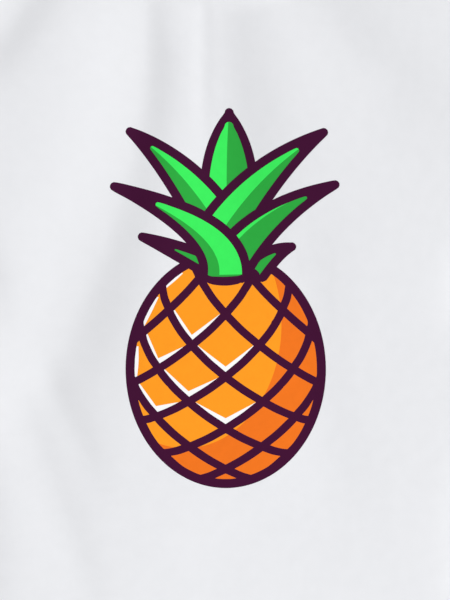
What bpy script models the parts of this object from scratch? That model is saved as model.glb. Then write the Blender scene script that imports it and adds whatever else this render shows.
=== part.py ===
"""Short-sleeved cotton T-shirt with a printed fruit motif, laid flat with its front up.

Metres, +Z up through the front of the shirt, +X towards the wearer's left sleeve and +Y towards
the neck.  The origin is under the middle of the shirt's outline, on the surface it lies on.
Shirt outlines are drawn from the high point of the shoulder (HPS, where the neck seam meets the
shoulder) and then moved by CENTRE_SHIFT.
"""
from math import cos, hypot, pi, radians, sin

import bmesh
import bpy
from mathutils import Vector
from mathutils.geometry import delaunay_2d_cdt

# ---------------------------------------------------------------- driving dimensions
CHEST_WIDTH = 0.520          # across the body below the armholes
BODY_LENGTH = 0.720          # HPS to the bottom hem
NECK_WIDTH = 0.180           # between the two high points of the shoulder
FRONT_NECK_DROP = 0.095      # HPS down to the front neck seam
BACK_NECK_DROP = 0.020       # HPS down to the back neck seam
SHOULDER_WIDTH = 0.460       # between the tops of the armholes
SHOULDER_DROP = 0.045        # HPS down to the top of the armhole
ARMHOLE_DEPTH = 0.230        # top of the armhole down to the armpit
ARMHOLE_INSET = 0.028        # how far the armhole curves in from the shoulder point
SLEEVE_LENGTH = 0.205        # along the top fold
SLEEVE_OPENING = 0.172       # across the flat cuff
SLEEVE_ANGLE = radians(27)   # top fold below the horizontal
RIB_WIDTH = 0.020            # neck band, seam to edge
RIB_RISE = 0.014             # how far the band stands above the HPS

JERSEY = 0.0008              # thickness of the body fabric
RIB_THICKNESS = 0.0016       # two layers of rib
SEAM_THICKNESS = 0.0010      # overlocked seam, pressed flat
SEAM_WIDTH = 0.005
TAPE_WIDTH = 0.010
TAPE_THICKNESS = 0.0004
LABEL_WIDTH = 0.030
LABEL_HEIGHT = 0.026
THREAD_RADIUS = 0.0002
HEM_ROWS = (0.017, 0.022)    # twin-needle rows, from a hem's edge
NECK_ROW = 0.004             # topstitch row outside the neck seam
CLEARANCE = 0.0003           # between pieces that touch

PRINT_DROP = 0.3415          # HPS down to the middle of the print
PRINT_SCALE = 1.0            # of every length in the motif
INK = 0.00015                # thickness of one cured ink film

# The motif, measured from the middle of the print.
FRUIT_CENTRE = (0.0, -0.057)
FRUIT_RADII = (0.0764, 0.0915)       # to the middle of the outline's stroke
FRUIT_STROKE = 0.0072
LATTICE_STROKE = 0.0064
LATTICE_COLUMN = radians(21)         # turn round the fruit from one column to the next
LATTICE_BREADTH = 0.0835             # of the widest row
LATTICE_WIDEST_ROW = 1.77
LATTICE_TAPER = 0.0594               # loss of breadth, by the square of the rows from the widest
LATTICE_TOP = -0.0131                # row 0 on the middle column
LATTICE_ROW_STEP = 0.0548            # first row spacing, which shrinks by LATTICE_ROW_SHRINK
LATTICE_ROW_SHRINK = 0.0045
HIDDEN_ROW = -1.2                    # the leaves cover the lines above this row
MIDDLE_ROWS = range(-1, 5)           # rows at which the lines pass the middle column
LATTICE_RISE = 0.0135                # how the rows curve up towards the sides
LATTICE_RISE_GAIN = 0.0122           # and how that grows from row to row
LIGHT_CENTRE = (-0.0324, -0.0212)    # the lit side of the fruit
LIGHT_RADII = (0.077, 0.099)
GLINT_RISE = 0.0036                  # height of a glint at a cell's bottom corner
GLINT_CELLS = ((0.5, -1), (1, -2), (1, 0), (1.5, -1), (2, 0), (2, -2))
EDGE_GLINTS = ((61, 47), (41, 21), (12, -5))   # degrees round the fruit's left side
EDGE_GLINT_DEPTH = 0.0030
LEAF_STROKE = 0.0072
MIN_LEAF_WIDTH = 0.0003              # half the width at which a shrunken leaf ends
LEAF_FOOT = 0.3                      # depth of its round foot, as a share of its half width

# Leaves from back to front: name, base, bend, tip, half width, lit side, where the fold runs
# and the power of the narrowing towards the tip.
LEAVES = (
    ("middle", (0.0030, 0.060), (0.0025, 0.110), (0.0028, 0.1475), 0.0205, 1, 0.10, 2.8),
    ("upper_left", (-0.002, 0.050), (-0.033, 0.104), (-0.0760, 0.1322), 0.0170, -1, 0.0, 1.6),
    ("lower_left", (-0.004, 0.021), (-0.036, 0.038), (-0.0665, 0.0486), 0.0070, 0, 0.0, 1.6),
    ("lower_right", (0.024, 0.021), (0.036, 0.036), (0.0527, 0.0408), 0.0075, 0, 0.0, 1.6),
    ("upper_right", (-0.008, 0.045), (0.026, 0.101), (0.0783, 0.1322), 0.0175, 1, 0.0, 1.6),
    ("mid_right", (0.002, 0.024), (0.029, 0.068), (0.0875, 0.0905), 0.0150, 1, 0.50, 1.6),
    ("mid_left", (-0.0005, 0.0185), (0.002, 0.056), (-0.0885, 0.0885), 0.0172, -1, -0.26, 1.6),
)

# ---------------------------------------------------------------- derived heights and places
FOLD_RISE = JERSEY + 2 * CLEARANCE + SEAM_THICKNESS      # from the back panel to the front panel
FRONT_Z = FOLD_RISE                                       # underside of the front panel
TOP_Z = FRONT_Z + JERSEY                                  # face of the front panel
SEAM_Z = JERSEY + CLEARANCE                               # underside of what lies inside
CENTRE_SHIFT = (BODY_LENGTH - RIB_RISE) / 2               # moves the outline's middle to y = 0

NECK_POINT = (NECK_WIDTH / 2, 0.0)
SHOULDER_POINT = (SHOULDER_WIDTH / 2, -SHOULDER_DROP)
ARMPIT = (CHEST_WIDTH / 2, -SHOULDER_DROP - ARMHOLE_DEPTH)
HEM_CORNER = (CHEST_WIDTH / 2, -BODY_LENGTH)
CUFF_TOP = (SHOULDER_POINT[0] + SLEEVE_LENGTH * cos(SLEEVE_ANGLE),
            SHOULDER_POINT[1] - SLEEVE_LENGTH * sin(SLEEVE_ANGLE))
CUFF_BOTTOM = (CUFF_TOP[0] - SLEEVE_OPENING * sin(SLEEVE_ANGLE),
               CUFF_TOP[1] - SLEEVE_OPENING * cos(SLEEVE_ANGLE))

WHITE = (0.80, 0.81, 0.82)
THREAD_WHITE = (0.88, 0.88, 0.88)
PLUM = (0.051, 0.005, 0.032)
LIGHT_ORANGE = (0.991, 0.323, 0.016)
DARK_ORANGE = (0.855, 0.175, 0.014)
LIGHT_GREEN = (0.047, 0.847, 0.112)
DARK_GREEN = (0.027, 0.392, 0.051)
GLINT_WHITE = (0.95, 0.95, 0.95)


# ---------------------------------------------------------------- helpers
def clear_scene():
    for item in list(bpy.data.objects):
        bpy.data.objects.remove(item, do_unlink=True)


def material(name, colour, roughness=0.9):
    made = bpy.data.materials.new(name)
    made.use_nodes = True
    shader = made.node_tree.nodes["Principled BSDF"]
    shader.inputs["Base Color"].default_value = (*colour, 1.0)
    shader.inputs["Roughness"].default_value = roughness
    shader.inputs["Metallic"].default_value = 0.0
    return made


def lerp(a, b, t):
    return tuple(p + (q - p) * t for p, q in zip(a, b))


def bezier(points, t):
    """A point on the Bezier curve through the first and last of its points."""
    while len(points) > 1:
        points = [lerp(a, b, t) for a, b in zip(points, points[1:])]
    return points[0]


def unit(a, b):
    dx, dy = b[0] - a[0], b[1] - a[1]
    size = hypot(dx, dy)
    return dx / size, dy / size


def mirrored(points):
    return [(-x, y) for x, y in reversed(points)]


def offset_path(points, distance):
    """The path moved to its left by distance."""
    moved = []
    for i, point in enumerate(points):
        dx, dy = unit(points[max(i - 1, 0)], points[min(i + 1, len(points) - 1)])
        moved.append((point[0] - dy * distance, point[1] + dx * distance))
    return moved


def ribbon(points, left, right):
    """The outline of a strip that follows a path, between two distances to its left."""
    return offset_path(points, right) + offset_path(points, left)[::-1]


def on_shirt(points):
    """Outline points from the HPS to the part's own frame."""
    return [(x, y + CENTRE_SHIFT) for x, y in points]


def add(name, data, colour, roughness=0.9):
    made = bpy.data.objects.new(name, data)
    data.materials.append(material(name, colour, roughness))
    shirt.objects.link(made)
    return made


def plate(name, outline, bottom, thickness, colour):
    """A flat piece: a filled 2D curve, extruded both ways from its middle height."""
    curve = bpy.data.curves.new(name, "CURVE")
    curve.dimensions = "2D"
    curve.fill_mode = "BOTH"
    curve.extrude = thickness / 2
    spline = curve.splines.new("POLY")
    spline.points.add(len(outline) - 1)
    for point, (x, y) in zip(spline.points, outline):
        point.co = (x, y, 0, 1)
    spline.use_cyclic_u = True
    made = add(name, curve, colour)
    made.location.z = bottom + thickness / 2
    return made


def thread_row(name, path):
    """A row of stitching on the front, as one thin round thread."""
    curve = bpy.data.curves.new(name, "CURVE")
    curve.dimensions = "3D"
    curve.bevel_depth = THREAD_RADIUS
    curve.bevel_resolution = 2
    curve.use_fill_caps = True
    spline = curve.splines.new("POLY")
    spline.points.add(len(path) - 1)
    for point, (x, y) in zip(spline.points, path):
        point.co = (x, y, TOP_Z + CLEARANCE + THREAD_RADIUS, 1)
    return add(name, curve, THREAD_WHITE)


def shell_between_loops(name, loops, thickness, colour):
    """A tube of cloth through matching closed loops, given its thickness by Solidify."""
    mesh = bpy.data.meshes.new(name)
    work = bmesh.new()
    rows = [[work.verts.new(point) for point in loop] for loop in loops]
    for near, far in zip(rows, rows[1:]):
        for i in range(len(near)):
            j = (i + 1) % len(near)
            work.faces.new((near[i], near[j], far[j], far[i]))
    bmesh.ops.recalc_face_normals(work, faces=work.faces)
    work.to_mesh(mesh)
    work.free()
    made = add(name, mesh, colour)
    solid = made.modifiers.new("thickness", "SOLIDIFY")
    solid.thickness = thickness
    solid.offset = 0
    return made


def folded_loop(front, back, front_z, back_z, outward, steps=4):
    """One closed loop of a flattened tube: across the front, round a fold, and back behind.

    outward is the way that the right-hand fold bulges in plan; the left-hand one mirrors it.
    """
    radius = (front_z - back_z) / 2
    middle = (front_z + back_z) / 2

    def turn(end, out, start_angle):
        for i in range(1, steps):
            angle = start_angle - pi * i / steps
            reach = radius * abs(cos(angle))
            yield (end[0] + out[0] * reach, end[1] + out[1] * reach, middle + radius * sin(angle))

    loop = [(x, y, front_z) for x, y in front]
    loop += list(turn(front[-1], outward, pi / 2))
    loop += [(x, y, back_z) for x, y in reversed(back)]
    loop += list(turn(front[0], (-outward[0], outward[1]), -pi / 2))
    return loop


# ---------------------------------------------------------------- shirt outlines, from the HPS
def armhole(points=16):
    """The right-hand armhole seam, from the shoulder point to the armpit."""
    inset = SHOULDER_POINT[0] - ARMHOLE_INSET
    upper = (inset, SHOULDER_POINT[1] - 0.30 * ARMHOLE_DEPTH)
    lower = (inset, ARMPIT[1] + 0.22 * ARMHOLE_DEPTH)
    guide = [SHOULDER_POINT, upper, lower, ARMPIT]
    return [bezier(guide, i / points) for i in range(points + 1)]


def front_neck(across=NECK_WIDTH / 2, drop=FRONT_NECK_DROP, rise=0.0, points=32):
    """The scooped front neckline, left to right."""
    angles = [pi + pi * i / points for i in range(points + 1)]
    return [(across * cos(a), rise + (drop + rise) * sin(a)) for a in angles]


def back_neck(across=NECK_WIDTH / 2, drop=BACK_NECK_DROP, rise=0.0, points=32):
    """The shallow back neckline, left to right."""
    spread = [cos(pi - pi * i / points) for i in range(points + 1)]
    return [(across * s, rise - (drop + rise) * (1 - s * s)) for s in spread]


def body_outline(neckline):
    """A body panel: armholes, shoulders, neckline, sides and hem."""
    right = armhole()
    outline = mirrored(right) + neckline + right + [HEM_CORNER]
    return on_shirt(outline + [(-HEM_CORNER[0], HEM_CORNER[1])])


# ---------------------------------------------------------------- shirt pieces
def make_body():
    plate("back_body", body_outline(back_neck()), 0.0, JERSEY, WHITE)
    plate("front_body", body_outline(front_neck()), FRONT_Z, JERSEY, WHITE)


def make_sleeve(name_side, side):
    """A front and a back layer, the top fold that joins them and the underarm seam inside."""
    gap = offset_path(armhole(), CLEARANCE)
    top, bottom = [gap[0], CUFF_TOP], [CUFF_BOTTOM, gap[-1]]

    def piece(part, outline, base, thickness, colour=WHITE):
        placed = [(side * x, y) for x, y in on_shirt(outline)]
        plate("%s_%s" % (name_side, part), placed, base, thickness, colour)

    piece("sleeve_front", gap + bottom[:1] + top[1:], FRONT_Z, JERSEY)
    piece("sleeve_back", gap + bottom[:1] + top[1:], 0.0, JERSEY)
    piece("sleeve_fold", ribbon(top, 0, -JERSEY), JERSEY, FRONT_Z - JERSEY)
    seam = [lerp(*bottom, 0.01), lerp(*bottom, 0.97)]
    strip = ribbon(seam, -CLEARANCE * 2, -SEAM_WIDTH)
    piece("underarm_seam", strip, SEAM_Z, SEAM_THICKNESS, THREAD_WHITE)


def make_neck_rib(steps_across=3):
    """The ribbed neck band: one ring, folded flat at the two high points of the shoulder."""
    front_z = FRONT_Z + JERSEY / 2
    back_z = RIB_THICKNESS / 2
    fold = (front_z - back_z) / 2 + RIB_THICKNESS / 2
    seam = NECK_WIDTH / 2 - fold - CLEARANCE
    edge = seam - RIB_RISE / 2
    outward = unit((0, 0), (RIB_RISE, seam - edge))      # square to the fold, which leans in
    loops = []
    for step in range(steps_across + 1):
        share = step / steps_across
        across = seam + (edge - seam) * share
        rise = RIB_RISE * share
        front = front_neck(across, FRONT_NECK_DROP - CLEARANCE - RIB_WIDTH * share, rise)
        back = back_neck(across, BACK_NECK_DROP - CLEARANCE - RIB_WIDTH * share, rise)
        loops.append(folded_loop(on_shirt(front), on_shirt(back), front_z, back_z, outward))
    shell_between_loops("neck_rib", loops, RIB_THICKNESS, WHITE)


def make_seams(name_side, side):
    """The overlocked side and armhole seams and the shoulder tape, between the two panels."""
    def strip(name, path, left, right, thickness):
        outline = [(side * x, y) for x, y in on_shirt(ribbon(path, left, right))]
        plate(name, outline, SEAM_Z, thickness, THREAD_WHITE)

    side_seam = [lerp(ARMPIT, HEM_CORNER, 0.03), lerp(ARMPIT, HEM_CORNER, 0.995)]
    strip(name_side + "_side_seam", side_seam, -CLEARANCE * 2, -SEAM_WIDTH, SEAM_THICKNESS)
    curve = armhole()[1:-1]
    strip(name_side + "_armhole_seam", curve, -CLEARANCE * 2, -SEAM_WIDTH, SEAM_THICKNESS)
    shoulder = [lerp(NECK_POINT, SHOULDER_POINT, 0.06), lerp(NECK_POINT, SHOULDER_POINT, 0.94)]
    strip(name_side + "_shoulder_tape", shoulder, -CLEARANCE * 2, -TAPE_WIDTH, SEAM_THICKNESS)


def make_back_neck():
    """The tape that covers the back neck seam, and the blank label sewn under it."""
    seam = [p for p in back_neck() if abs(p[0]) < 0.8 * NECK_WIDTH / 2]
    tape = ribbon(seam, -CLEARANCE * 2, -TAPE_WIDTH)
    plate("back_neck_tape", on_shirt(tape), SEAM_Z, TAPE_THICKNESS, THREAD_WHITE)
    top = -BACK_NECK_DROP - TAPE_WIDTH - CLEARANCE * 2
    half = LABEL_WIDTH / 2
    label = [(-half, top - LABEL_HEIGHT), (half, top - LABEL_HEIGHT), (half, top), (-half, top)]
    plate("size_label", on_shirt(label), SEAM_Z, TAPE_THICKNESS, THREAD_WHITE)


def make_stitching():
    """Twin-needle rows round the hem and cuffs, and one row under the neck band."""
    inset = THREAD_RADIUS * 5
    for number, height in enumerate(HEM_ROWS, 1):
        y = -BODY_LENGTH + height
        ends = [(-HEM_CORNER[0] + inset, y), (HEM_CORNER[0] - inset, y)]
        thread_row("hem_stitch_%d" % number, on_shirt(ends))
        for name, side in (("right", -1), ("left", 1)):
            share = height / SLEEVE_LENGTH
            row = [lerp(CUFF_TOP, SHOULDER_POINT, share),
                   lerp(CUFF_BOTTOM, ARMPIT, height / hypot(CUFF_BOTTOM[0] - ARMPIT[0],
                                                            CUFF_BOTTOM[1] - ARMPIT[1]))]
            placed = [(side * x, y) for x, y in on_shirt(row)]
            thread_row("%s_cuff_stitch_%d" % (name, number), placed)
    row = front_neck(NECK_WIDTH / 2 + NECK_ROW, FRONT_NECK_DROP + NECK_ROW)[2:-2]
    thread_row("neck_stitch", on_shirt(row))


# ---------------------------------------------------------------- the printed motif
def ellipse(centre, radii, points=64):
    turns = [2 * pi * i / points for i in range(points)]
    return [(centre[0] + radii[0] * cos(a), centre[1] + radii[1] * sin(a)) for a in turns]


def crossing(row, column):
    """Where the spiral lines cross: column 0 is the middle, and odd columns sit on half rows."""
    breadth = LATTICE_BREADTH * (1 - LATTICE_TAPER * (row - LATTICE_WIDEST_ROW) ** 2)
    middle = LATTICE_TOP - LATTICE_ROW_STEP * row + LATTICE_ROW_SHRINK * row * row
    rise = LATTICE_RISE + LATTICE_RISE_GAIN * row
    turn = LATTICE_COLUMN * column
    return breadth * sin(turn), middle + rise * (1 - cos(turn))


def inside_fruit(point):
    """Whether a point lies within the fruit's outline."""
    return hypot(*((p - c) / r for p, c, r in zip(point, FRUIT_CENTRE, FRUIT_RADII))) < 1


def spiral(middle_row, hand, steps=18, reach=4.2):
    """One line, from the fruit's left side (hand 1) or right side (hand -1) down to its exit."""
    line, entered = [], False
    for i in range(steps + 1):
        column = reach * (2 * i / steps - 1)
        row = middle_row + column / 2
        if row < HIDDEN_ROW:
            continue
        x, y = crossing(row, column)
        line.append((hand * x, y))
        if inside_fruit(line[-1]):
            entered = True
        elif entered:
            break
    return line if entered else []


def glint(row, column):
    """The bright V along the two lower edges of the cell whose bottom corner is given."""
    left = crossing(row - 0.5, column - 1)
    right = crossing(row - 0.5, column + 1)
    bottom = crossing(row, column)
    corner = LATTICE_STROKE * 0.75                 # from a crossing to the cell's own corner
    inner = (bottom[0], bottom[1] + corner + GLINT_RISE)
    return [left, bottom, right, (right[0] - corner, right[1]), inner, (left[0] + corner, left[1])]


def edge_glint(start, end, points=6):
    """A bright crescent just inside the left of the fruit's outline."""
    radii = [r - FRUIT_STROKE / 2 for r in FRUIT_RADII]
    outer, inner = [], []
    for i in range(points + 1):
        angle = radians(180 - (start + (end - start) * i / points))
        depth = EDGE_GLINT_DEPTH * (0.5 + 0.5 * sin(pi * i / points))
        x, y = radii[0] * cos(angle), radii[1] * sin(angle)
        outer.append((FRUIT_CENTRE[0] + x, FRUIT_CENTRE[1] + y))
        inner.append((FRUIT_CENTRE[0] + x + depth, FRUIT_CENTRE[1] + y))
    return outer + inner[::-1]


def leaf_spine(base, bend, tip, points=14):
    return [bezier([base, bend, tip], i / points) for i in range(points + 1)]


def leaf(base, bend, tip, half_width, taper, grow):
    """A leaf on a bent spine, grown (or shrunk) by grow all round, with a round tip if grown."""
    spine = leaf_spine(base, bend, tip)
    count = len(spine) - 1
    left, right = [], []
    for i, point in enumerate(spine):
        width = half_width * (1 - (i / count) ** taper) + grow
        if width < MIN_LEAF_WIDTH:
            break
        dx, dy = unit(spine[max(i - 1, 0)], spine[min(i + 1, count)])
        left.append((point[0] - dy * width, point[1] + dx * width))
        right.append((point[0] + dy * width, point[1] - dx * width))
    foot = half_turn(right[0], left[0], half_width * LEAF_FOOT + grow)
    tip_depth = hypot(left[-1][0] - right[-1][0], left[-1][1] - right[-1][1]) / 2
    return right[::-1] + foot + left + half_turn(left[-1], right[-1], tip_depth)


def half_turn(start, end, depth, steps=6):
    """Points of a round end between two points, bulging to the left of the way between them."""
    middle = lerp(start, end, 0.5)
    along = (end[0] - middle[0], end[1] - middle[1])
    dx, dy = unit(start, end)
    turned = []
    for i in range(1, steps):
        across = -cos(pi * i / steps)
        bulge = depth * sin(pi * i / steps)
        turned.append((middle[0] + along[0] * across - dy * bulge,
                       middle[1] + along[1] * across + dx * bulge))
    return turned


def lit_side(base, bend, tip, half_width, side, fold, taper):
    """The half of a leaf on one side of its fold, wider than the leaf so that the leaf trims it."""
    spine = leaf_spine(base, bend, tip)
    count = len(spine) - 1
    fold_path = []
    for i, point in enumerate(spine):
        dx, dy = unit(spine[max(i - 1, 0)], spine[min(i + 1, count)])
        shift = side * fold * half_width * (1 - (i / count) ** taper)
        fold_path.append((point[0] - dy * shift, point[1] + dx * shift))
    far = offset_path(spine, side * half_width * 1.5)
    return fold_path + far[::-1]


def area(outline):
    return sum(a[0] * b[1] - b[0] * a[1] for a, b in zip(outline, outline[1:] + outline[:1])) / 2


def motif_regions():
    """Every flat shape in the motif, as (kind, index, outline), in print coordinates."""
    half = FRUIT_STROKE / 2
    regions = [("fruit", 0, ellipse(FRUIT_CENTRE, [r + half for r in FRUIT_RADII]))]
    regions.append(("flesh", 0, ellipse(FRUIT_CENTRE, [r - half for r in FRUIT_RADII])))
    regions.append(("light", 0, ellipse(LIGHT_CENTRE, LIGHT_RADII)))
    width = LATTICE_STROKE / 2
    for hand in (1, -1):
        lines = [spiral(middle_row, hand) for middle_row in MIDDLE_ROWS]
        regions += [("lattice", 0, ribbon(line, -width, width)) for line in lines if line]
    for index, (_, base, bend, tip, half_width, side, fold, taper) in enumerate(LEAVES):
        for kind, grow in (("leaf_outer", 0.5), ("leaf_middle", 0.0), ("leaf_inner", -0.5)):
            outline = leaf(base, bend, tip, half_width, taper, grow * LEAF_STROKE)
            regions.append((kind, index, outline))
        if side:
            lit = lit_side(base, bend, tip, half_width, side, fold, taper)
            regions.append(("leaf_lit", index, lit))
    return regions


class Motif:
    """The motif cut into triangles, each of which knows the shapes that it lies in."""

    def __init__(self):
        points, faces, self.kinds = [], [], []
        for kind, index, outline in motif_regions():
            if area(outline) < 0:
                outline = outline[::-1]
            faces.append(list(range(len(points), len(points) + len(outline))))
            points += [Vector(p) * PRINT_SCALE for p in outline]
            self.kinds.append((kind, index))
        cut = delaunay_2d_cdt(points, [], faces, 1, 1e-6, True)
        self.points, self.triangles, self.sources = cut[0], cut[2], cut[5]

    def shapes(self, triangle):
        return {self.kinds[i] for i in self.sources[triangle]}

    def pick(self, wanted):
        """The triangles whose shapes satisfy wanted, the largest connected group of them."""
        chosen = [i for i in range(len(self.triangles)) if wanted(self.shapes(i))]
        edges = {}
        for i in chosen:
            corners = self.triangles[i]
            for a, b in zip(corners, corners[1:] + corners[:1]):
                edges.setdefault(frozenset((a, b)), []).append(i)
        neighbours = {i: set() for i in chosen}
        for group in edges.values():
            for i in group:
                neighbours[i].update(group)
        best, seen = [], set()
        for start in chosen:
            if start in seen:
                continue
            group, queue = [], [start]
            seen.add(start)
            while queue:
                here = queue.pop()
                group.append(here)
                for other in neighbours[here] - seen:
                    seen.add(other)
                    queue.append(other)
            if self.size(group) > self.size(best):
                best = group
        return best

    def size(self, triangles):
        return sum(abs(area([tuple(self.points[v]) for v in self.triangles[i]])) for i in triangles)


def front_leaf(shapes):
    """The index of the leaf on top at this place, or None."""
    return max((index for kind, index in shapes if kind == "leaf_outer"), default=None)


def is_outline(shapes):
    top = front_leaf(shapes)
    if top is not None:
        return ("leaf_inner", top) not in shapes
    return ("fruit", 0) in shapes and (("flesh", 0) not in shapes or ("lattice", 0) in shapes)


def is_crown(shapes):
    return any(kind == "leaf_middle" for kind, _ in shapes)


def is_light_flesh(shapes):
    return {("flesh", 0), ("light", 0)} <= shapes and front_leaf(shapes) is None


def film(name, motif, wanted, level, colour):
    """One ink film: the chosen triangles, extruded to the film's thickness."""
    mesh = bpy.data.meshes.new(name)
    work = bmesh.new()
    corners = {}
    height = film_height(level)
    for triangle in motif.pick(wanted):
        for v in motif.triangles[triangle]:
            if v not in corners:
                x, y = motif.points[v]
                corners[v] = work.verts.new((x, y + CENTRE_SHIFT - PRINT_DROP, height))
        work.faces.new([corners[v] for v in motif.triangles[triangle]])
    bmesh.ops.dissolve_limit(work, angle_limit=radians(0.01), verts=work.verts, edges=work.edges)
    bmesh.ops.triangulate(work, faces=work.faces)
    grown = bmesh.ops.extrude_face_region(work, geom=work.faces[:])
    top = [item for item in grown["geom"] if isinstance(item, bmesh.types.BMVert)]
    bmesh.ops.translate(work, vec=(0, 0, INK), verts=top)
    bmesh.ops.recalc_face_normals(work, faces=work.faces)
    work.to_mesh(mesh)
    work.free()
    return add(name, mesh, colour, 0.55)


def film_height(level):
    return TOP_Z + CLEARANCE + level * (INK + CLEARANCE)


def placed_print(outline):
    return [(x * PRINT_SCALE, y * PRINT_SCALE + CENTRE_SHIFT - PRINT_DROP) for x, y in outline]


def make_print():
    """Ink films from the bottom up: dark flesh, light flesh and crown, lights, then the outline."""
    motif = Motif()
    fruit = placed_print(ellipse(FRUIT_CENTRE, FRUIT_RADII))
    plate("print_fruit_shade", fruit, film_height(0), INK, DARK_ORANGE)
    film("print_fruit_light", motif, is_light_flesh, 1, LIGHT_ORANGE)
    film("print_crown_shade", motif, is_crown, 1, DARK_GREEN)
    for index, one in enumerate(LEAVES):
        if one[5]:
            def lit(shapes, index=index):
                needed = {("leaf_inner", index), ("leaf_lit", index)}
                return front_leaf(shapes) == index and needed <= shapes
            film("print_leaf_light_" + one[0], motif, lit, 2, LIGHT_GREEN)
    outlines = [glint(row, column) for row, column in GLINT_CELLS]
    outlines += [edge_glint(start, end) for start, end in EDGE_GLINTS]
    for number, outline in enumerate(outlines, 1):
        plate("print_glint_%d" % number, placed_print(outline), film_height(2), INK, GLINT_WHITE)
    film("print_outline", motif, is_outline, 3, PLUM)


clear_scene()
shirt = bpy.data.collections.new("printed_t_shirt")
bpy.context.scene.collection.children.link(shirt)
make_body()
make_sleeve("left", 1)
make_sleeve("right", -1)
make_neck_rib()
make_seams("left", 1)
make_seams("right", -1)
make_back_neck()
make_stitching()
make_print()
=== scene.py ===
"""Looks of a printed T-shirt laid flat, front up: jersey, rib, ink and stitching.

The outlines of the panels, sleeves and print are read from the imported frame. relief() says how high
the top layer of cloth lies at each point of the plan, and the front panel, the ink films, the
sleeves and the stitching all take their heights from it.
"""
import math

import bpy
import numpy as np
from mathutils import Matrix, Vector
from mathutils.geometry import delaunay_2d_cdt


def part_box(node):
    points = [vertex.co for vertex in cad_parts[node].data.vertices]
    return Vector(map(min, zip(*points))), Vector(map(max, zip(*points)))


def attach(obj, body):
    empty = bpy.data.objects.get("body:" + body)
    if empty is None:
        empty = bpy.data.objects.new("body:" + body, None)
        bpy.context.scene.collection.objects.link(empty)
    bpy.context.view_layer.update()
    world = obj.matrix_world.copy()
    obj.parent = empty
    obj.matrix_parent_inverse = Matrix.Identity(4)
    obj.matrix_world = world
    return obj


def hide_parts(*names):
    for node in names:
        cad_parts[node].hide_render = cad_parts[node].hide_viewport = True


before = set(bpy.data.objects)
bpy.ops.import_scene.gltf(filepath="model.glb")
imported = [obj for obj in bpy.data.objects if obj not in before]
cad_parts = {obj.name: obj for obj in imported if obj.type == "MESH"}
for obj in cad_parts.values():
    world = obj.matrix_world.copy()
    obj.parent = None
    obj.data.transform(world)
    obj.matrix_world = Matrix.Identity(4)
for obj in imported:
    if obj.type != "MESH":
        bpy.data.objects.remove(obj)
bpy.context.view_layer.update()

# ---------------------------------------------------------------- sizes, in metres
MM = 0.001
TOP_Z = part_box("front_body")[1].z            # face of the front panel where it lies flat
PRINT_LOW, PRINT_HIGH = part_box("print_outline")
PRINT_MIDDLE = ((PRINT_LOW.x + PRINT_HIGH.x) / 2, (PRINT_LOW.y + PRINT_HIGH.y) / 2)
HEM_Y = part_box("front_body")[0].y
JERSEY = 0.7 * MM                            # one layer of cloth
HEM = 22 * MM                                # depth of the turned-up hems
INK = 0.10 * MM                              # thickness of an ink film
INK_GAP = 0.03 * MM                          # between a film and the cloth under it

STITCH_LENGTH = 2.6 * MM
STITCH_GAP = 0.7 * MM
THREAD = 0.17 * MM                           # radius of the sewing thread
NECK_ROW = 4 * MM                            # from the neck seam to its row of stitching
SEAM_DIP = 0.9 * MM                          # how far sewing pulls the cloth down at an armhole
SEAM_DIP_WIDTH = 1.5 * MM
NECK_DIP = 0.8 * MM
NECK_DIP_WIDTH = 1.6 * MM
SLEEVE_GAP = 0.3 * MM                        # between a body panel and the sleeve sewn to it

RIB_PITCH = 1.5 * MM
RIB_HEIGHT = 0.16 * MM                       # of a rib above the middle of the wave
RIBS = 300
RIB_WIDTH = 20 * MM
RIB_CLOTH = 1.1 * MM                         # both layers of the band together

LATTICE = 4.0 * MM                           # spacing of the panels' points
PRINT_SPACING = 2.0 * MM                     # and of the points along the print's outlines
LATTICE_ROW = 0.866                          # of an even lattice, as a share of its spacing
CLEAR_OF_OUTLINE = 0.45                      # lattice points keep this share of it from outlines
CLEAR_OF_PRINT = 0.3
SLIVER = 1e-10                               # doubled area of a triangle too thin to keep
MERGED = 1e-6                                # points closer than this become one

JOINT_TURN = math.radians(22)                # an outline turning less than this is a curve,
CAP_TURN = math.radians(42)                  # or this where its chords are as short as
CAP_CHORD = 2.5 * MM                         # those of a rounded stroke end
CHORD_SAG = 0.25 * MM                        # the most a chord may stand off its curve

FLOOR_Z = -0.2 * MM
VIEW_HEIGHT = 480 * MM                       # of cloth, from the top of the view to the bottom
VIEW_DROP = 1.2 * MM                         # the camera looks this far below the print's middle
LENS = 90.0
SENSOR = 36.0


# ---------------------------------------------------------------- outlines read from the frame
def flat_loops(name):
    """The closed outlines, in plan, of the faces of a CAD node that look up."""
    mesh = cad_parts[name].data
    following = {}
    for face in mesh.polygons:
        if face.normal.z < 0.9:
            continue
        ring = [tuple(round(c, 6) for c in mesh.vertices[i].co.xy) for i in face.vertices]
        for a, b in zip(ring, ring[1:] + ring[:1]):
            if a in following.get(b, ()):
                following[b].remove(a)
            else:
                following.setdefault(a, []).append(b)
    loops = []
    starts = [a for a in following if following[a]]
    for start in starts:
        while following[start]:
            loop, here = [start], following[start].pop()
            while here != start:
                loop.append(here)
                here = following[here].pop()
            loops.append(loop)
    return loops


def densify(loop, spacing):
    """The same closed outline with its sides cut to at most spacing."""
    made = []
    for a, b in zip(loop, loop[1:] + loop[:1]):
        steps = max(1, math.ceil(math.dist(a, b) / spacing))
        made += [(a[0] + (b[0] - a[0]) * i / steps, a[1] + (b[1] - a[1]) * i / steps)
                 for i in range(steps)]
    return made


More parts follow.
